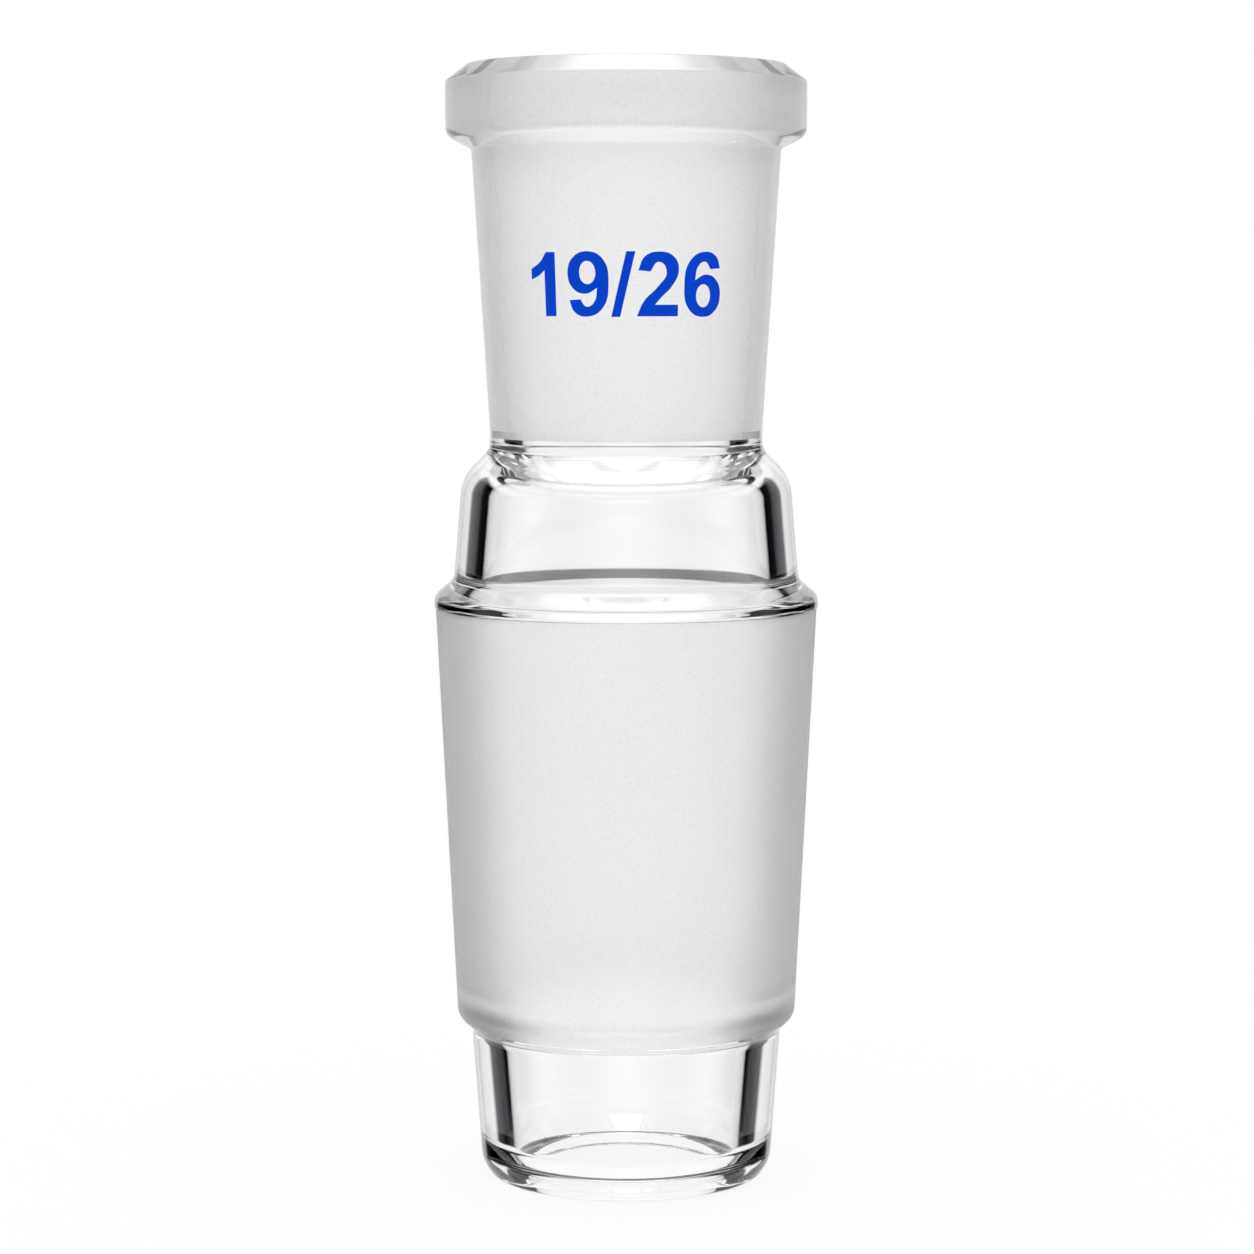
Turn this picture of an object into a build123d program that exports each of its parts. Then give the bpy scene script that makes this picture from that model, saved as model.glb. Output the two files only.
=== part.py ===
from build123d import *
from math import radians, tan
import os

# Reduction adapter in borosilicate glass, in millimetres.
# A 19/26 ground socket opens upwards, and a 29/32 ground cone with a clear drip tip points down.
# The glass is one blown and fused piece, a solid of revolution about Z that stands on its tip at Z = 0.

# Both ground joints narrow by one part in ten of their length, measured on the diameter.
joint_taper = 0.1

# Drip tip, the clear tube under the cone, drawn in by the flame at its foot
tip_length = 11.45
tip_top_diameter = 23.9
tip_foot_diameter = 22.4
tip_wall = 2.4
foot_draw_in = 0.7
foot_draw_height = 1.1
foot_round = 1.6

# Fire-polished lip, where the tip's wall thickens inwards at its foot
foot_lip_depth = 1.4
foot_lip_height = 1.1
foot_lip_slope_height = 1.6
foot_lip_flare = 0.3

# Rounded step between the tip and the ground cone
step_height = 1.0
step_round = 1.2

# Ground cone, its length taken to the middle of the rounded step
cone_large_diameter = 29.2
cone_ground_length = 32.0
cone_wall = 2.4

# Clear shoulder above the cone, left slightly proud where the grinding stops
shoulder_overhang = 0.1
shoulder_side_height = 0.9
shoulder_slope_height = 1.25
shoulder_round = 1.4
shoulder_root_fillet = 1.1

# Bulb between the two joints
bulb_base_diameter = 26.4
bulb_top_diameter = 25.1
bulb_side_height = 7.8
bulb_dome_height = 2.15
bulb_wall = 2.05
bulb_round = 3.5
bulb_inner_round = 1.7

# Neck, the narrowest place outside and inside
neck_diameter = 20.8
neck_height = 1.45
neck_fillet = 1.4

# Socket, with its bore ground from the bevelled mouth to the throat
socket_wall_height = 21.22
socket_top_diameter = 23.5
socket_large_diameter = 18.8
socket_ground_length = 28.2
throat_length = 1.6
mouth_bevel = 0.4

# Rim, a thick band with a bevel above it and a slope below it
rim_diameter = 27.4
rim_slope_height = 0.98
rim_band_height = 4.1
rim_bevel_height = 1.25
rim_top_diameter = 24.1

# Heights, stacked up from the foot
step_base = tip_length
cone_base = step_base + step_height
ground_edge = step_base + step_height / 2 + cone_ground_length
shoulder_corner = ground_edge + shoulder_side_height
bulb_base = shoulder_corner + shoulder_slope_height
bulb_top = bulb_base + bulb_side_height
neck_base = bulb_top + bulb_dome_height
neck_top = neck_base + neck_height
rim_root = neck_top + socket_wall_height
band_base = rim_root + rim_slope_height
band_top = band_base + rim_band_height
mouth = band_top + rim_bevel_height
throat_top = mouth - socket_ground_length
throat_base = throat_top - throat_length

# Outer radii
tip_foot_radius = tip_foot_diameter / 2
tip_top_radius = tip_top_diameter / 2
cone_large_radius = cone_large_diameter / 2
cone_small_radius = cone_large_radius - (ground_edge - cone_base) * joint_taper / 2
shoulder_radius = cone_large_radius + shoulder_overhang
bulb_base_radius = bulb_base_diameter / 2
bulb_top_radius = bulb_top_diameter / 2
neck_radius = neck_diameter / 2
socket_top_radius = socket_top_diameter / 2
rim_radius = rim_diameter / 2
rim_top_radius = rim_top_diameter / 2

# Bore radii of the tip: above the lip and in it
tip_bore_radius = tip_foot_radius - tip_wall
lip_radius = tip_bore_radius - foot_lip_depth

# Bore radii of the socket: at the mouth, under its bevel, and in the throat where the ground taper ends
mouth_radius = socket_large_diameter / 2
bevel_foot_radius = mouth_radius - mouth_bevel * joint_taper / 2
throat_radius = mouth_radius - socket_ground_length * joint_taper / 2


def bend_lag(wall):
    """How far the inner corner of an even wall lies from the outer one, where the wall turns by 45 degrees."""
    return wall * tan(radians(45 / 2))


def room_for(before, corner, after, wanted):
    """The wanted corner radius, or the largest one that half of each straight run beside the corner allows."""
    run_in = Vector(*corner) - Vector(*before)
    run_out = Vector(*after) - Vector(*corner)
    half_turn = radians(run_in.get_angle(run_out)) / 2
    shorter_half = min(run_in.length, run_out.length) / 2
    if wanted * tan(half_turn) > shorter_half:
        return shorter_half / tan(half_turn)
    return wanted


def wall_line(corners):
    """Draws a wall from the axis at its top to the axis at its foot, as pairs of a corner and its rounding."""
    points = [corner for corner, _ in corners]
    path = [(0, points[0][1])] + points + [(0, points[-1][1])]
    radii = [
        room_for(path[i], path[i + 1], path[i + 2], wanted)
        for i, (_, wanted) in enumerate(corners)
    ]
    FilletPolyline(*path, radius=radii)
    Line(path[-1], path[0])


# Outside of the glass, from the rim down to the foot
outer_wall = [
    ((rim_top_radius, mouth), 0),
    ((rim_radius, band_top), 0),
    ((rim_radius, band_base), 0),
    ((socket_top_radius, rim_root), 0),
    ((neck_radius, neck_top), 0),
    ((neck_radius, neck_base), neck_fillet),
    ((bulb_top_radius, bulb_top), bulb_round),
    ((bulb_base_radius, bulb_base), shoulder_root_fillet),
    ((shoulder_radius, shoulder_corner), shoulder_round),
    ((shoulder_radius, ground_edge), 0),
    ((cone_large_radius, ground_edge), 0),
    ((cone_small_radius, cone_base), step_round),
    ((tip_top_radius, step_base), step_round),
    ((tip_foot_radius, foot_draw_height), foot_round),
    ((tip_foot_radius - foot_draw_in, 0), 0),
]

# Hollow inside, from the ground mouth down to the foot
hollow_wall = [
    ((mouth_radius + mouth_bevel, mouth), 0),
    ((bevel_foot_radius, mouth - mouth_bevel), 0),
    ((throat_radius, throat_top), 0),
    ((throat_radius, throat_base), 0),
    ((bulb_top_radius - bulb_wall, bulb_top - bend_lag(bulb_wall)), bulb_inner_round),
    ((bulb_base_radius - bulb_wall, bulb_base - bend_lag(bulb_wall)), 0),
    ((cone_large_radius - cone_wall, shoulder_corner - bend_lag(cone_wall)), 0),
    ((cone_small_radius - cone_wall, cone_base + bend_lag(cone_wall)), 0),
    ((tip_top_radius - tip_wall, step_base + bend_lag(tip_wall)), 0),
    ((tip_bore_radius, foot_lip_height + foot_lip_slope_height), 0),
    ((lip_radius, foot_lip_height), 0),
    ((lip_radius + foot_lip_flare, 0), 0),
]

with BuildPart() as adapter_body:
    with BuildSketch(Plane.XZ):
        with BuildLine():
            wall_line(outer_wall)
        make_face()
    revolve(axis=Axis.Z)
    with BuildSketch(Plane.XZ):
        with BuildLine():
            wall_line(hollow_wall)
        make_face()
    revolve(axis=Axis.Z, mode=Mode.SUBTRACT)

adapter_body.part.label = "adapter_body"

os.makedirs("parts", exist_ok=True)
export_step(adapter_body.part, "parts/adapter_body.step")

print(f"height {mouth:.2f} mm, throat bore {2 * throat_radius:.2f} mm")
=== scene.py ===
import logging
import math
from dataclasses import dataclass, field
from enum import Enum
from typing import Any, NamedTuple

import bpy
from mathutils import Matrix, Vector


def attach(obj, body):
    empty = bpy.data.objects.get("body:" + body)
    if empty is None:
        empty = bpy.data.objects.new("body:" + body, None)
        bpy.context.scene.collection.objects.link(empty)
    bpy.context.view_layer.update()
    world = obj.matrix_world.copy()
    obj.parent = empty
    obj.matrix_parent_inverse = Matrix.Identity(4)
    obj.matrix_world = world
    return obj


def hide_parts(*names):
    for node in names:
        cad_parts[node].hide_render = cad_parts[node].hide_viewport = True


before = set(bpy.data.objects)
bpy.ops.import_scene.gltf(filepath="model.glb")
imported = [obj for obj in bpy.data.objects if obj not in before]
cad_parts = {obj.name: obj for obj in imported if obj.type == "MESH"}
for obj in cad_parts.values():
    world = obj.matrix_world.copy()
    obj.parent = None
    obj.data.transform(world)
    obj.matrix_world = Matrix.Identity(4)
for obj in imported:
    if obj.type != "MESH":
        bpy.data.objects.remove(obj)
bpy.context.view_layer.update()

# A reduction adapter of borosilicate glass: a 19/26 ground socket over a 29/32 ground cone with a drip tip.
# Sizes are in millimetres, and mm() turns them into Blender's metres. Z = 0 is the foot of the drip tip.

GLASS_NODE = "adapter_body"
BODY = "root"

# Both ground joints narrow by one part in ten of their length, measured on the diameter.
JOINT_TAPER = 0.1

# The sRGB curve: a straight toe for dark values, then a power
FULL_CHANNEL = 255
TOE_END = 0.04045
TOE_SLOPE = 12.92
CURVE_OFFSET = 0.055
CURVE_POWER = 2.4

# A count of bounces above this is at least one bounce.
NO_BOUNCE = 0.5

QUARTER_TURN = math.pi / 2
EIGHTH_TURN = math.pi / 4

log = logging.getLogger("reduction_adapter")


def mm(value: float) -> float:
    """Turns millimetres into metres."""
    return value / 1000


def linear(hex_colour: str) -> tuple[float, float, float, float]:
    """Turns an sRGB colour into a linear one.

    Args:
        hex_colour: Six hex digits, such as "0048DC".

    Returns:
        Red, green, blue and an alpha of 1, in linear light.
    """
    channels = []
    for start in (0, 2, 4):
        value = int(hex_colour[start:start + 2], 16) / FULL_CHANNEL
        if value <= TOE_END:
            channels.append(value / TOE_SLOPE)
        else:
            channels.append(((value + CURVE_OFFSET) / (1 + CURVE_OFFSET)) ** CURVE_POWER)
    return (*channels, 1.0)


def add_node(
    tree: bpy.types.NodeTree, kind: str, inputs: dict[Any, Any] | None = None, **settings: Any
) -> bpy.types.Node:
    """Adds a node with its settings, values and links.

    Args:
        tree: The node tree that it joins.
        kind: The node's type name.
        inputs: For each input, by name or number, a value or the output socket that is linked to it.
        settings: The node's own properties, such as operation="MULTIPLY".

    Returns:
        The new node.
    """
    node = tree.nodes.new(kind)
    for name, value in settings.items():
        setattr(node, name, value)
    for key, value in (inputs or {}).items():
        if isinstance(value, bpy.types.NodeSocket):
            tree.links.new(value, node.inputs[key])
        else:
            node.inputs[key].default_value = value
    return node


def start_material(name: str) -> tuple[bpy.types.Material, bpy.types.NodeTree, bpy.types.Node]:
    """Starts a material that is made of nodes.

    Args:
        name: The material's name.

    Returns:
        The material, its node tree and its main shader.
    """
    made = bpy.data.materials.new(name)
    made.use_nodes = True
    return made, made.node_tree, made.node_tree.nodes["Principled BSDF"]


def deselect_all() -> None:
    """Leaves edit mode and deselects every object."""
    if bpy.context.object and bpy.context.object.mode != "OBJECT":
        bpy.ops.object.mode_set(mode="OBJECT")
    bpy.ops.object.select_all(action="DESELECT")


def make_active(piece: bpy.types.Object) -> None:
    """Selects one object alone and makes it the active one.

    Args:
        piece: The object.
    """
    deselect_all()
    piece.select_set(True)
    bpy.context.view_layer.objects.active = piece


def apply_place(piece: bpy.types.Object) -> None:
    """Moves the object's place, turn and scale into its mesh."""
    make_active(piece)
    bpy.ops.object.transform_apply(location=True, rotation=True, scale=True)


class Corner(NamedTuple):
    """One corner of the wall's section: its distance from the axis, its height and how it is rounded."""

    radius: float
    height: float
    rounding: float


@dataclass(frozen=True)
class FirePolishedGlass:
    """Clear borosilicate glass, smoothed by the flame or by a hot tool.

    The flame leaves a glossy, faintly wavy skin, so what shows through it bends softly. A tool leaves it a
    little duller. Where the skin is seen edge on its colour is darkened: a painted shade that draws the thin
    dark line that real glass has along its outline.
    """

    name: str = "fire_polished_borosilicate"
    tint: str = "FDFDFE"
    # Painted shade: the dark colour laid on where the skin is seen edge on, and the facing range over which
    # it comes in
    painted_edge_shade: str = "2A2E3A"
    edge_shade_start: float = 0.78
    edge_shade_end: float = 0.94
    ior: float = 1.473
    roughness: float = 0.0
    wave_length: float = 5.0
    wave_height: float = 0.0015
    wave_detail: float = 1.0

    def material(self) -> bpy.types.Material:
        """Builds the material.

        Returns:
            The finished material.
        """
        made, tree, shader = start_material(self.name)
        # Painted shade: the base colour turns dark where the skin is seen edge on, standing in for the dark
        # line along the glass's outline
        facing = add_node(tree, "ShaderNodeLayerWeight")
        edge_shade_mask = add_node(
            tree,
            "ShaderNodeMapRange",
            {"Value": facing.outputs["Facing"], "From Min": self.edge_shade_start, "From Max": self.edge_shade_end},
        )
        colour = add_node(
            tree,
            "ShaderNodeMix",
            {"Factor": edge_shade_mask.outputs["Result"], "A": linear(self.tint), "B": linear(self.painted_edge_shade)},
            data_type="RGBA",
        )
        tree.links.new(colour.outputs["Result"], shader.inputs["Base Color"])
        shader.inputs["IOR"].default_value = self.ior
        shader.inputs["Roughness"].default_value = self.roughness
        shader.inputs["Transmission Weight"].default_value = 1.0
        place = add_node(tree, "ShaderNodeTexCoord")
        wave = add_node(
            tree,
            "ShaderNodeTexNoise",
            {
                "Vector": place.outputs["Object"],
                "Scale": 1 / mm(self.wave_length),
                "Detail": self.wave_detail,
            },
        )
        bump = add_node(
            tree,
            "ShaderNodeBump",
            {"Height": wave.outputs["Fac"], "Strength": 1.0, "Distance": mm(self.wave_height)},
        )
        tree.links.new(bump.outputs["Normal"], shader.inputs["Normal"])
        return made


@dataclass(frozen=True)
class GroundGlass:
    """Borosilicate glass ground with fine grit, as on a standard taper.

    The skin scatters what shines through it, so it looks like white frost with a fine grain. The grit is
    about 0.05 mm. It is drawn at grain_size, the finest that shows in the render. Clearness is the share of
    light that the frost lets through, and the rest comes back as plain white.
    """

    name: str
    tint: str = "FFFFFF"
    pit_tint: str = "EFEFEF"
    ior: float = 1.473
    clearness: float = 0.97
    roughness: float = 0.46
    roughness_swing: float = 0.06
    grain_size: float = 0.16
    grain_height: float = 0.006
    grain_detail: float = 2.0
    pit_start: float = 0.3
    pit_end: float = 0.52
    cloud_size: float = 4.0
    cloud_detail: float = 3.0

    def material(self) -> bpy.types.Material:
        """Builds the material.

        Returns:
            The finished material.
        """
        made, tree, shader = start_material(self.name)
        shader.inputs["IOR"].default_value = self.ior
        shader.inputs["Transmission Weight"].default_value = self.clearness
        place = add_node(tree, "ShaderNodeTexCoord")
        cloud = add_node(
            tree,
            "ShaderNodeTexNoise",
            {
                "Vector": place.outputs["Object"],
                "Scale": 1 / mm(self.cloud_size),
                "Detail": self.cloud_detail,
            },
        )
        rough = add_node(
            tree,
            "ShaderNodeMapRange",
            {
                "Value": cloud.outputs["Fac"],
                "To Min": self.roughness - self.roughness_swing,
                "To Max": self.roughness + self.roughness_swing,
            },
        )
        tree.links.new(rough.outputs["Result"], shader.inputs["Roughness"])
        grain = add_node(
            tree,
            "ShaderNodeTexNoise",
            {
                "Vector": place.outputs["Object"],
                "Scale": 1 / mm(self.grain_size),
                "Detail": self.grain_detail,
            },
        )
        pits = add_node(
            tree,
            "ShaderNodeMapRange",
            {"Value": grain.outputs["Fac"], "From Min": self.pit_start, "From Max": self.pit_end},
        )
        colour = add_node(
            tree,
            "ShaderNodeMix",
            {"Factor": pits.outputs["Result"], "A": linear(self.pit_tint), "B": linear(self.tint)},
            data_type="RGBA",
        )
        tree.links.new(colour.outputs["Result"], shader.inputs["Base Color"])
        bump = add_node(
            tree,
            "ShaderNodeBump",
            {"Height": grain.outputs["Fac"], "Strength": 1.0, "Distance": mm(self.grain_height)},
        )
        tree.links.new(bump.outputs["Normal"], shader.inputs["Normal"])
        return made


@dataclass(frozen=True)
class FiredEnamel:
    """Blue glass enamel, screen printed and fired on: an even, opaque colour with a soft gloss."""

    name: str = "fired_blue_enamel"
    colour: str = "0044CE"
    deep_colour: str = "003CBE"
    roughness: float = 0.4
    gloss: float = 0.04
    speckle_size: float = 0.3
    speckle_detail: float = 2.0

    def material(self) -> bpy.types.Material:
        """Builds the material.

        Returns:
            The finished material.
        """
        made, tree, shader = start_material(self.name)
        shader.inputs["Roughness"].default_value = self.roughness
        shader.inputs["Specular IOR Level"].default_value = self.gloss
        place = add_node(tree, "ShaderNodeTexCoord")
        speckle = add_node(
            tree,
            "ShaderNodeTexNoise",
            {
                "Vector": place.outputs["Object"],
                "Scale": 1 / mm(self.speckle_size),
                "Detail": self.speckle_detail,
            },
        )
        colour = add_node(
            tree,
            "ShaderNodeMix",
            {"Factor": speckle.outputs["Fac"], "A": linear(self.deep_colour), "B": linear(self.colour)},
            data_type="RGBA",
        )
        tree.links.new(colour.outputs["Result"], shader.inputs["Base Color"])
        return made


class Finish(Enum):
    """The six skins of the glass, in the order of its material slots."""

    # Smoothed by the flame: crisp gloss on the neck, the bulb, the shoulder, the tip and all smooth bores
    FIRE_POLISHED = FirePolishedGlass()
    # Shaped by a hot tool: a slightly dull gloss on the socket's wall
    TOOLED_SOCKET = FirePolishedGlass(name="tooled_borosilicate", roughness=0.04)
    # The same on the rim, whose thick glass takes a little of the light
    TOOLED_RIM = FirePolishedGlass(name="thick_tooled_borosilicate", tint="F3F3F3", roughness=0.04)
    # Frosted bore, seen through the wall: its low index keeps the wall from mirroring it with a hard step
    GROUND_BORE = GroundGlass(name="ground_bore_borosilicate", ior=1.33, roughness=0.62, grain_height=0.001)
    # Frosted outside of the cone: grainy and nearly white
    GROUND_CONE = GroundGlass(name="ground_cone_borosilicate")
    # The cone's rounded lower end: a little milkier, so that the flags don't show through it as dark smears
    GROUND_END = GroundGlass(name="ground_end_borosilicate", clearness=0.8)


@dataclass
class GlassWall:
    """The blown and fused glass: rim, socket, neck, bulb, shoulder, ground cone and drip tip.

    Its section is drawn corner by corner and spun about the axis. Heights are measured from the foot, and a
    field that ends in round or fillet is the radius of a rounding.
    """

    mouth: float = 85.05
    rim_top_radius: float = 12.05
    rim_radius: float = 13.7
    band_top: float = 83.8
    band_base: float = 79.7
    rim_root: float = 78.72
    socket_top_radius: float = 11.75
    neck_top: float = 57.5
    neck_base: float = 56.05
    neck_radius: float = 10.4
    bulb_top: float = 53.9
    bulb_top_radius: float = 12.55
    bulb_base: float = 46.1
    bulb_base_radius: float = 13.2
    shoulder_corner: float = 44.85
    shoulder_radius: float = 14.7
    ground_edge: float = 43.95
    cone_large_radius: float = 14.6
    cone_base: float = 12.45
    cone_small_radius: float = 13.025
    step_base: float = 11.45
    tip_top_radius: float = 11.95
    tip_foot_radius: float = 11.2
    foot_draw_height: float = 1.1
    foot_draw_in: float = 0.7
    tip_wall: float = 2.4
    cone_wall: float = 2.4
    bulb_wall: float = 2.05
    foot_lip_depth: float = 1.4
    foot_lip_height: float = 1.1
    foot_lip_slope_height: float = 1.6
    foot_lip_flare: float = 0.3
    rim_top_round: float = 0.25
    rim_round: float = 0.4
    band_base_round: float = 1.1
    rim_root_fillet: float = 0.35
    neck_top_fillet: float = 2.0
    neck_base_fillet: float = 1.4
    bulb_round: float = 3.5
    shoulder_root_fillet: float = 1.1
    shoulder_round: float = 1.4
    ground_edge_round: float = 0.04
    step_round: float = 1.2
    foot_round: float = 2.2
    foot_end_round: float = 0.6
    lip_end_round: float = 0.3
    lip_round: float = 0.3
    lip_slope_round: float = 1.0
    inner_step_round: float = 1.0
    inner_shoulder_round: float = 0.4
    bulb_inner_round: float = 1.7
    throat_round: float = 0.5
    bevel_foot_round: float = 0.2
    mouth_round: float = 0.15
    throat_radius: float = 7.99
    throat_base: float = 55.25
    throat_top: float = 56.85
    mouth_radius: float = 9.4
    mouth_bevel: float = 0.4
    ground_foot: float = 11.95
    end_top: float = 14.5
    turn_per_segment: float = 6.0
    longest_run: float = 1.9
    holding_run: float = 0.12
    shortest_held_run: float = 0.48
    segments_around: int = 256
    crisp_angle: float = 50.0
    bend: float = 45.0
    weld: float = 0.002

    def bend_lag(self, wall: float) -> float:
        """How far below the outer corner the inner one lies, where an even wall turns by the bend."""
        return wall * math.tan(math.radians(self.bend) / 2)

    def outside(self) -> list[Corner]:
        """The outer line of the section.

        Returns:
            Its corners, from the mouth down to the foot.
        """
        return [
            Corner(self.rim_top_radius, self.mouth, self.rim_top_round),
            Corner(self.rim_radius, self.band_top, self.rim_round),
            Corner(self.rim_radius, self.band_base, self.band_base_round),
            Corner(self.socket_top_radius, self.rim_root, self.rim_root_fillet),
            Corner(self.neck_radius, self.neck_top, self.neck_top_fillet),
            Corner(self.neck_radius, self.neck_base, self.neck_base_fillet),
            Corner(self.bulb_top_radius, self.bulb_top, self.bulb_round),
            Corner(self.bulb_base_radius, self.bulb_base, self.shoulder_root_fillet),
            Corner(self.shoulder_radius, self.shoulder_corner, self.shoulder_round),
            Corner(self.shoulder_radius, self.ground_edge, self.ground_edge_round),
            Corner(self.cone_large_radius, self.ground_edge, self.ground_edge_round),
            Corner(self.cone_small_radius, self.cone_base, self.step_round),
            Corner(self.tip_top_radius, self.step_base, self.step_round),
            Corner(self.tip_foot_radius, self.foot_draw_height, self.foot_round),
            Corner(self.tip_foot_radius - self.foot_draw_in, 0, self.foot_end_round),
        ]

    def inside(self) -> list[Corner]:
        """The inner line of the section.

        Returns:
            Its corners, from the foot up to the mouth.
        """
        tip_lag = self.bend_lag(self.tip_wall)
        cone_lag = self.bend_lag(self.cone_wall)
        bulb_lag = self.bend_lag(self.bulb_wall)
        cone_large_bore = self.cone_large_radius - self.cone_wall
        cone_small_bore = self.cone_small_radius - self.cone_wall
        bulb_base_bore = self.bulb_base_radius - self.bulb_wall
        bulb_top_bore = self.bulb_top_radius - self.bulb_wall
        tip_bore = self.tip_foot_radius - self.tip_wall
        lip_radius = tip_bore - self.foot_lip_depth
        slope_top = self.foot_lip_height + self.foot_lip_slope_height
        bevel_foot_radius = self.mouth_radius - self.mouth_bevel * JOINT_TAPER / 2
        return [
            Corner(lip_radius + self.foot_lip_flare, 0, self.lip_end_round),
            Corner(lip_radius, self.foot_lip_height, self.lip_round),
            Corner(tip_bore, slope_top, self.lip_slope_round),
            Corner(self.tip_top_radius - self.tip_wall, self.step_base + tip_lag, self.inner_step_round),
            Corner(cone_small_bore, self.cone_base + cone_lag, self.inner_step_round),
            Corner(cone_large_bore, self.shoulder_corner - cone_lag, self.inner_shoulder_round),
            Corner(bulb_base_bore, self.bulb_base - bulb_lag, self.inner_shoulder_round),
            Corner(bulb_top_bore, self.bulb_top - bulb_lag, self.bulb_inner_round),
            Corner(self.throat_radius, self.throat_base, self.throat_round),
            Corner(self.throat_radius, self.throat_top, self.throat_round),
            Corner(bevel_foot_radius, self.mouth - self.mouth_bevel, self.bevel_foot_round),
            Corner(self.mouth_radius + self.mouth_bevel, self.mouth, self.mouth_round),
        ]

    def extrude_run(self, start: Vector, end: Vector) -> None:
        """Extrudes the selected vertex along a straight run.

        A short step at each end of a longer run keeps the shading of the roundings from spreading along it.

        Args:
            start: The place of the selected vertex, in millimetres.
            end: Where the run ends.
        """
        run = end - start
        stops = [0.0, 1.0]
        if run.length > self.shortest_held_run:
            held = self.holding_run / run.length
            free = 1 - 2 * held
            count = max(1, math.ceil(run.length * free / self.longest_run))
            stops = [0.0] + [held + free * i / count for i in range(count + 1)] + [1.0]
        for low, high in zip(stops, stops[1:]):
            step = run * (high - low)
            bpy.ops.mesh.extrude_region_move(
                TRANSFORM_OT_translate={"value": (mm(step.x), mm(step.y), mm(step.z))}
            )

    def draw_section(self, corners: list[Corner]) -> None:
        """Draws the closed section as a wire of vertices, and leaves it in edit mode.

        Each corner is rounded as it asks, or as far as half of the straight runs beside it allows.

        Args:
            corners: The corners all the way round.
        """
        points = [Vector((corner.radius, 0, corner.height)) for corner in corners]
        count = len(points)
        bends = []
        for i, corner in enumerate(corners):
            run_in = points[i] - points[i - 1]
            run_out = points[(i + 1) % count] - points[i]
            turn = math.atan2(run_in.z * run_out.x - run_in.x * run_out.z, run_in.dot(run_out))
            reach = corner.rounding * math.tan(abs(turn) / 2)
            reach = min(reach, min(run_in.length, run_out.length) / 2)
            rounding = reach / math.tan(abs(turn) / 2)
            towards = math.copysign(1, turn)
            side = Vector((run_in.z, 0, -run_in.x)).normalized() * towards
            enter = points[i] - run_in.normalized() * reach
            leave = points[i] + run_out.normalized() * reach
            bends.append((enter, leave, enter + side * rounding, turn))
        start = bends[0][0]
        bpy.ops.mesh.primitive_plane_add(size=mm(1), location=[mm(value) for value in start])
        bpy.ops.object.mode_set(mode="EDIT")
        bpy.ops.mesh.select_all(action="SELECT")
        bpy.ops.mesh.merge(type="CENTER")
        for i, (enter, leave, centre, turn) in enumerate(bends):
            # The spin tool counts its angle the other way round.
            bpy.ops.mesh.spin(
                steps=max(2, math.ceil(math.degrees(abs(turn)) / self.turn_per_segment)),
                angle=-turn,
                use_auto_merge=False,
                center=[mm(value) for value in centre],
                axis=(0, 1, 0),
            )
            self.extrude_run(leave, bends[(i + 1) % count][0])

    def build(self) -> bpy.types.Object:
        """Builds the glass as one closed mesh.

        Returns:
            The glass, at the origin.
        """
        deselect_all()
        self.draw_section(self.outside() + self.inside())
        bpy.ops.mesh.select_all(action="SELECT")
        bpy.ops.mesh.remove_doubles(threshold=mm(self.weld))
        bpy.ops.mesh.spin(
            steps=self.segments_around,
            angle=math.tau,
            use_auto_merge=True,
            center=(0, 0, 0),
            axis=(0, 0, 1),
        )
        bpy.ops.mesh.select_all(action="SELECT")
        bpy.ops.mesh.remove_doubles(threshold=mm(self.weld))
        bpy.ops.mesh.normals_make_consistent(inside=False)
        glass = bpy.context.object
        glass.name = "glass_wall"
        apply_place(glass)
        bpy.ops.object.shade_smooth_by_angle(angle=math.radians(self.crisp_angle))
        return glass

    def finish_at(self, height: float, outside: bool) -> Finish:
        """Tells which finish the skin has at a height.

        Args:
            height: The height above the foot, in millimetres.
            outside: True on the outside of the glass, and False in its bore.

        Returns:
            The finish.
        """
        if not outside:
            frosted = self.throat_top < height < self.mouth - self.mouth_bevel
            return Finish.GROUND_BORE if frosted else Finish.FIRE_POLISHED
        if self.neck_top < height < self.band_top:
            return Finish.TOOLED_SOCKET if height < self.band_base else Finish.TOOLED_RIM
        if self.ground_foot < height < self.ground_edge:
            return Finish.GROUND_CONE if height > self.end_top else Finish.GROUND_END
        return Finish.FIRE_POLISHED

    def dress(self, glass: bpy.types.Object) -> None:
        """Gives each stretch of the skin its finish.

        Args:
            glass: The built glass.
        """
        slots = {finish: number for number, finish in enumerate(Finish)}
        for finish in Finish:
            glass.data.materials.append(finish.value.material())
        for face in glass.data.polygons:
            outside = face.normal.x * face.center.x + face.normal.y * face.center.y > 0
            face.material_index = slots[self.finish_at(face.center.z / mm(1), outside)]


@dataclass
class Glyph:
    """One figure of the joint number, as closed outlines in units of its height.

    A point is (x, y, kind), and the kind is "AUTO" where the outline runs round and "VECTOR" at a corner.
    """

    outlines: list[list[tuple[float, float, str]]]

    def turned(self, middle_x: float) -> "Glyph":
        """The same figure turned upside down about its middle, as a 9 is a turned 6."""
        return Glyph([[(2 * middle_x - x, 1 - y, kind) for x, y, kind in line] for line in self.outlines])

    def left(self) -> float:
        """The lowest x of the outlines."""
        return min(x for line in self.outlines for x, _, _ in line)

    def width(self) -> float:
        """The width of the outlines."""
        return max(x for line in self.outlines for x, _, _ in line) - self.left()


ONE = Glyph([[
    (0.55, 0.0, "VECTOR"),
    (0.36, 0.0, "VECTOR"),
    (0.36, 0.72, "VECTOR"),
    (0.25, 0.635, "AUTO"),
    (0.11, 0.575, "VECTOR"),
    (0.11, 0.74, "VECTOR"),
    (0.28, 0.845, "AUTO"),
    (0.395, 1.0, "VECTOR"),
    (0.55, 1.0, "VECTOR"),
]])

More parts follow.
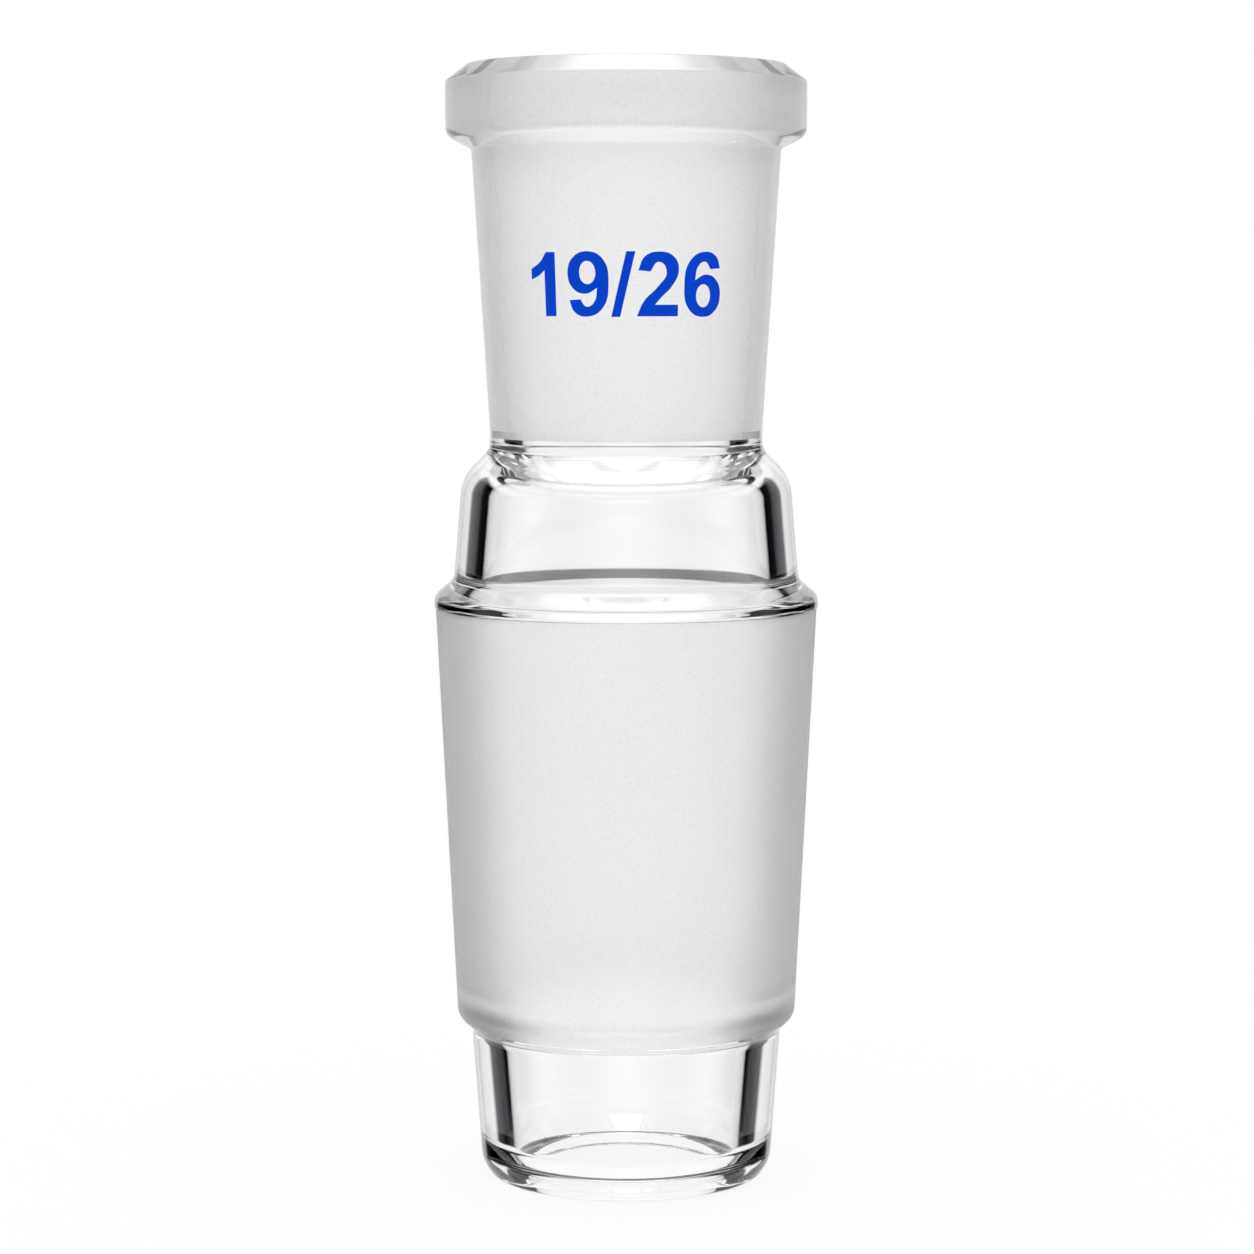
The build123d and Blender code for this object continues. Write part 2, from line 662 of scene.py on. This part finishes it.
SLASH = Glyph([[
    (0.0, -0.01, "VECTOR"),
    (0.14, -0.01, "VECTOR"),
    (0.375, 1.01, "VECTOR"),
    (0.235, 1.01, "VECTOR"),
]])

TWO = Glyph([[
    (0.69, 0.0, "VECTOR"),
    (0.03, 0.0, "VECTOR"),
    (0.14, 0.235, "AUTO"),
    (0.37, 0.475, "AUTO"),
    (0.495, 0.69, "AUTO"),
    (0.37, 0.845, "AUTO"),
    (0.235, 0.695, "VECTOR"),
    (0.05, 0.715, "VECTOR"),
    (0.15, 0.93, "AUTO"),
    (0.375, 1.005, "AUTO"),
    (0.61, 0.925, "AUTO"),
    (0.69, 0.725, "AUTO"),
    (0.595, 0.485, "AUTO"),
    (0.42, 0.3, "AUTO"),
    (0.315, 0.18, "VECTOR"),
    (0.69, 0.18, "VECTOR"),
]])

SIX = Glyph([
    [
        (0.68, 0.75, "VECTOR"),
        (0.595, 0.935, "AUTO"),
        (0.395, 1.005, "AUTO"),
        (0.15, 0.885, "AUTO"),
        (0.045, 0.49, "AUTO"),
        (0.14, 0.1, "AUTO"),
        (0.375, -0.01, "AUTO"),
        (0.61, 0.085, "AUTO"),
        (0.7, 0.33, "AUTO"),
        (0.62, 0.56, "AUTO"),
        (0.42, 0.65, "AUTO"),
        (0.225, 0.56, "VECTOR"),
        (0.275, 0.78, "AUTO"),
        (0.395, 0.85, "AUTO"),
        (0.5, 0.735, "VECTOR"),
    ],
    [
        (0.38, 0.5, "AUTO"),
        (0.25, 0.33, "AUTO"),
        (0.385, 0.14, "AUTO"),
        (0.51, 0.32, "AUTO"),
    ],
])


@dataclass
class JointNumber:
    """The socket's standard size, 19/26, printed on its front in blue enamel."""

    glyphs: list[Glyph] = field(default_factory=lambda: [ONE, SIX.turned(0.38), SLASH, TWO, SIX])
    gaps: tuple[float, ...] = (0.215, 0.04, 0.028, 0.1)
    height: float = 4.7
    centre_height: float = 68.5
    wall_radius: float = 11.1
    strip_width: float = 0.3
    clearance: float = 0.01
    thickness: float = 0.03
    curve_steps: int = 8
    crisp_angle: float = 40.0
    finish: FiredEnamel = FiredEnamel()

    def draw_flat(self) -> bpy.types.Object:
        """Draws the figures side by side as one flat, filled sheet.

        Returns:
            The sheet, upright in the XZ plane, with its middle at the origin and its face towards -Y.
        """
        deselect_all()
        curve = bpy.data.curves.new("joint_number", "CURVE")
        curve.dimensions = "2D"
        curve.fill_mode = "BOTH"
        curve.resolution_u = self.curve_steps
        total = sum(glyph.width() for glyph in self.glyphs) + sum(self.gaps)
        pen = -total / 2
        for glyph, gap in zip(self.glyphs, (*self.gaps, 0.0)):
            for outline in glyph.outlines:
                spline = curve.splines.new("BEZIER")
                spline.use_cyclic_u = True
                spline.bezier_points.add(len(outline) - 1)
                for point, (x, y, kind) in zip(spline.bezier_points, outline):
                    flat_x = (pen + x - glyph.left()) * self.height
                    flat_y = (y - 0.5) * self.height
                    point.co = (mm(flat_x), mm(flat_y), 0)
                    point.handle_left_type = kind
                    point.handle_right_type = kind
            pen += glyph.width() + gap
        sheet = bpy.data.objects.new("joint_number", curve)
        bpy.context.scene.collection.objects.link(sheet)
        make_active(sheet)
        bpy.ops.object.convert(target="MESH")
        sheet = bpy.context.object
        sheet.rotation_euler = (QUARTER_TURN, 0, 0)
        apply_place(sheet)
        return sheet

    def cut_strips(self, sheet: bpy.types.Object) -> None:
        """Cuts the flat sheet into narrow upright strips, so that it can follow the round wall.

        Args:
            sheet: The flat sheet.
        """
        make_active(sheet)
        bpy.ops.object.mode_set(mode="EDIT")
        half = sheet.dimensions.x / 2
        cuts = math.ceil(2 * half / mm(self.strip_width))
        for i in range(1, cuts):
            bpy.ops.mesh.select_all(action="SELECT")
            bpy.ops.mesh.bisect(plane_co=(-half + 2 * half * i / cuts, 0, 0), plane_no=(1, 0, 0))
        bpy.ops.object.mode_set(mode="OBJECT")

    def wrap(self, sheet: bpy.types.Object, glass: bpy.types.Object) -> None:
        """Bends the sheet round the axis, lays it on the glass and gives it its thickness.

        Args:
            sheet: The flat sheet, cut into strips.
            glass: The glass that carries the print.
        """
        make_active(sheet)
        radius = mm(self.wall_radius)
        bend = sheet.modifiers.new("bend", "SIMPLE_DEFORM")
        bend.deform_method = "BEND"
        bend.deform_axis = "Z"
        bend.angle = sheet.dimensions.x / radius
        bpy.ops.object.modifier_apply(modifier=bend.name)
        sheet.location = (0, -radius, mm(self.centre_height))
        apply_place(sheet)
        cling = sheet.modifiers.new("cling", "SHRINKWRAP")
        cling.target = glass
        cling.wrap_method = "NEAREST_SURFACEPOINT"
        cling.wrap_mode = "OUTSIDE_SURFACE"
        cling.offset = mm(self.clearance)
        bpy.ops.object.modifier_apply(modifier=cling.name)
        thicken = sheet.modifiers.new("thicken", "SOLIDIFY")
        thicken.thickness = mm(self.thickness)
        thicken.offset = 1
        bpy.ops.object.modifier_apply(modifier=thicken.name)
        bpy.ops.object.shade_smooth_by_angle(angle=math.radians(self.crisp_angle))

    def build(self, glass: bpy.types.Object) -> bpy.types.Object:
        """Builds the print on the glass.

        Args:
            glass: The glass that carries it.

        Returns:
            The print, at the origin.
        """
        sheet = self.draw_flat()
        self.cut_strips(sheet)
        self.wrap(sheet, glass)
        sheet.data.materials.append(self.finish.material())
        return sheet


@dataclass
class Studio:
    """A white sweep of floor and backdrop, dark flags for the glass to mirror, and a camera with a long lens.

    Four flags stand round the adapter with white gaps between them, and lean outwards below the level of
    lean_below. The two at the back are black with a grey border, and the two in front are soft and grey.
    Dark bars hang under the white ceiling, with a lamp above them. Only light that was mirrored by clear
    glass shows all this, as dark bands where the wall is seen edge on. Light that was mirrored inside the
    glass by a frosted skin shows an even light grey. Angles are in degrees from the middle of the back, and
    a reach says how high a direction points, from -1 straight down to 1 straight up.
    """

    floor_size: float = 6000.0
    white: str = "FFFFFF"
    frost_fill: str = "D4D4D4"
    grey_flag: str = "4B5158"
    black_flag: str = "040506"
    soft_flag: str = "7C8084"
    ceiling: str = "1A1D20"
    gap_edge: float = 21.5
    flag_edge: float = 27.0
    flag_core: float = 38.0
    flag_seam: float = 72.0
    flag_lean: float = 1.1
    lean_below: float = -0.17
    lamp_strength: float = 4.0
    ceiling_reach: tuple[float, float] = (0.3, 0.36)
    bar_spacing: float = 0.25
    bar_share: float = 0.45
    lamp_reach: tuple[float, float] = (0.85, 0.92)
    floor_reach: tuple[float, float] = (-0.4, -0.3)
    shadow_depth: float = 0.12
    camera_distance: float = 263.8
    camera_height: float = 67.5
    camera_side: float = 0.06
    camera_tilt: float = 5.45
    lens: float = 99.04
    sensor: float = 36.0

    def ramp(
        self,
        tree: bpy.types.NodeTree,
        value: bpy.types.NodeSocket,
        reach: tuple[float, float],
        colours: tuple[Any, Any],
        interpolation: str = "LINEAR",
    ) -> bpy.types.NodeSocket:
        """Goes from one colour to another as a value grows.

        Args:
            tree: The world's node tree.
            value: The output with the value.
            reach: Where the change starts and where it ends.
            colours: The first and the last colour, each a value or an output.
            interpolation: How the change runs, as the Map Range node names it.

        Returns:
            The output with the colour.
        """
        share = add_node(
            tree,
            "ShaderNodeMapRange",
            {"Value": value, "From Min": reach[0], "From Max": reach[1]},
            interpolation_type=interpolation,
        )
        mixed = add_node(
            tree,
            "ShaderNodeMix",
            {"Factor": share.outputs["Result"], "A": colours[0], "B": colours[1]},
            data_type="RGBA",
        )
        return mixed.outputs["Result"]

    def flags(self, tree: bpy.types.NodeTree) -> bpy.types.NodeSocket:
        """What clear glass mirrors: flags and gaps all round, bars and a lamp overhead, a white floor below.

        Args:
            tree: The world's node tree.

        Returns:
            The output with the colour.
        """
        place = add_node(tree, "ShaderNodeTexCoord")
        parts = add_node(tree, "ShaderNodeSeparateXYZ", {0: place.outputs["Generated"]})
        azimuth = add_node(
            tree, "ShaderNodeMath", {0: parts.outputs["X"], 1: parts.outputs["Y"]}, operation="ARCTAN2"
        )
        folded = add_node(
            tree,
            "ShaderNodeMath",
            {0: azimuth.outputs[0], 1: EIGHTH_TURN, 2: -EIGHTH_TURN},
            operation="WRAP",
        )
        off_gap = add_node(tree, "ShaderNodeMath", {0: folded.outputs[0]}, operation="ABSOLUTE")
        aside = add_node(tree, "ShaderNodeMath", {0: azimuth.outputs[0]}, operation="ABSOLUTE")
        low = add_node(
            tree, "ShaderNodeMath", {0: parts.outputs["Z"], 1: -self.lean_below}, operation="ADD"
        )
        sunk = add_node(tree, "ShaderNodeMath", {0: low.outputs[0], 1: 0.0}, operation="MINIMUM")
        off_back = add_node(
            tree,
            "ShaderNodeMath",
            {0: sunk.outputs[0], 1: self.flag_lean, 2: aside.outputs[0]},
            operation="MULTIPLY_ADD",
        )
        white, black = linear(self.white), linear(self.black_flag)
        near_edge, far_edge, core, seam = (
            math.radians(angle) for angle in (self.gap_edge, self.flag_edge, self.flag_core, self.flag_seam)
        )
        outer = self.ramp(tree, off_back.outputs[0], (near_edge, far_edge), (white, linear(self.grey_flag)))
        crisp = self.ramp(tree, off_back.outputs[0], (far_edge, core), (outer, black))
        soft = self.ramp(
            tree, off_gap.outputs[0], (0.0, EIGHTH_TURN), (white, linear(self.soft_flag)), "SMOOTHSTEP"
        )
        around = self.ramp(tree, off_back.outputs[0], (seam, seam + core - far_edge), (crisp, soft))
        lamp = (self.lamp_strength,) * 3 + (1.0,)
        half = self.bar_spacing / 2
        off_bar = add_node(tree, "ShaderNodeMath", {0: parts.outputs["Z"], 1: half}, operation="PINGPONG")
        bar_edge = half * self.bar_share
        bars = self.ramp(
            tree, off_bar.outputs[0], (bar_edge / 2, bar_edge), (linear(self.ceiling), white), "SMOOTHSTEP"
        )
        ceiling = self.ramp(tree, parts.outputs["Z"], self.ceiling_reach, (around, bars))
        above = self.ramp(tree, parts.outputs["Z"], self.lamp_reach, (ceiling, lamp), "SMOOTHSTEP")
        return self.ramp(tree, parts.outputs["Z"], self.floor_reach, (white, above), "SMOOTHSTEP")

    def light_world(self) -> None:
        """Makes the soft white surroundings, which are also the background, with the flags in them."""
        world = bpy.data.worlds.new("white_surround")
        bpy.context.scene.world = world
        world.use_nodes = True
        world.cycles.sampling_method = "NONE"
        tree = world.node_tree
        path = add_node(tree, "ShaderNodeLightPath")
        mirrored = add_node(
            tree, "ShaderNodeMath", {0: path.outputs["Glossy Depth"], 1: NO_BOUNCE}, operation="GREATER_THAN"
        )
        inside = add_node(
            tree,
            "ShaderNodeMath",
            {0: path.outputs["Transmission Depth"], 1: NO_BOUNCE},
            operation="GREATER_THAN",
        )
        by_frost = add_node(
            tree,
            "ShaderNodeMix",
            {"Factor": inside.outputs[0], "A": linear(self.white), "B": linear(self.frost_fill)},
            data_type="RGBA",
        )
        by_finish = add_node(
            tree,
            "ShaderNodeMix",
            {
                "Factor": path.outputs["Is Singular Ray"],
                "A": by_frost.outputs["Result"],
                "B": self.flags(tree),
            },
            data_type="RGBA",
        )
        light = add_node(
            tree,
            "ShaderNodeMix",
            {"Factor": mirrored.outputs[0], "A": linear(self.white), "B": by_finish.outputs["Result"]},
            data_type="RGBA",
        )
        tree.links.new(light.outputs["Result"], tree.nodes["Background"].inputs["Color"])

    def lay_floor(self) -> None:
        """Lays the white floor that the adapter stands on.

        It takes the adapter's shadow, softened by the white that it shows to the lens. Light that was
        mirrored goes on through it to the surroundings.
        """
        deselect_all()
        bpy.ops.mesh.primitive_plane_add(size=mm(self.floor_size), location=(0, 0, 0))
        floor = bpy.context.object
        floor.name = "studio_floor"
        made, tree, shader = start_material("white_floor")
        tree.nodes.remove(shader)
        path = add_node(tree, "ShaderNodeLightPath")
        mirrored = add_node(
            tree, "ShaderNodeMath", {0: path.outputs["Glossy Depth"], 1: NO_BOUNCE}, operation="GREATER_THAN"
        )
        seen = add_node(
            tree,
            "ShaderNodeMath",
            {0: path.outputs["Is Camera Ray"], 1: path.outputs["Is Transmission Ray"]},
            operation="MAXIMUM",
        )
        softened = add_node(
            tree, "ShaderNodeMath", {0: seen.outputs[0], 1: 1 - self.shadow_depth}, operation="MULTIPLY"
        )
        lit = add_node(tree, "ShaderNodeBsdfDiffuse", {"Color": linear(self.white)})
        shown = add_node(tree, "ShaderNodeEmission", {"Color": linear(self.white)})
        through = add_node(tree, "ShaderNodeBsdfTransparent")
        pale = add_node(
            tree, "ShaderNodeMixShader", {0: softened.outputs[0], 1: lit.outputs[0], 2: shown.outputs[0]}
        )
        mixed = add_node(
            tree, "ShaderNodeMixShader", {0: mirrored.outputs[0], 1: pale.outputs[0], 2: through.outputs[0]}
        )
        tree.links.new(mixed.outputs[0], tree.nodes["Material Output"].inputs["Surface"])
        floor.data.materials.append(made)

    def set_camera(self) -> None:
        """Stands the camera in front of the adapter, level with its socket and tilted down a little."""
        lens = bpy.data.cameras.new("camera")
        lens.lens = self.lens
        lens.sensor_width = self.sensor
        camera = bpy.data.objects.new("camera", lens)
        camera.location = (mm(self.camera_side), -mm(self.camera_distance), mm(self.camera_height))
        camera.rotation_euler = (QUARTER_TURN - math.radians(self.camera_tilt), 0, 0)
        bpy.context.scene.collection.objects.link(camera)
        bpy.context.scene.camera = camera

    def build(self) -> None:
        """Builds the whole studio."""
        self.light_world()
        self.lay_floor()
        self.set_camera()
        bpy.context.scene.view_settings.view_transform = "Standard"


def report(piece: bpy.types.Object) -> None:
    """Logs a finished piece's name, its number of faces and its size in millimetres."""
    size = " x ".join(f"{side / mm(1):.2f}" for side in piece.dimensions)
    log.info("%s: %d faces, %s mm", piece.name, len(piece.data.polygons), size)


def main() -> None:
    """Builds the adapter and the studio in order."""
    logging.basicConfig(level=logging.INFO, format="%(name)s: %(message)s")
    wall = GlassWall()
    glass = wall.build()
    wall.dress(glass)
    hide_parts(GLASS_NODE)
    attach(glass, BODY)
    report(glass)
    number = JointNumber().build(glass)
    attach(number, BODY)
    report(number)
    Studio().build()


if __name__ == "__main__":
    main()
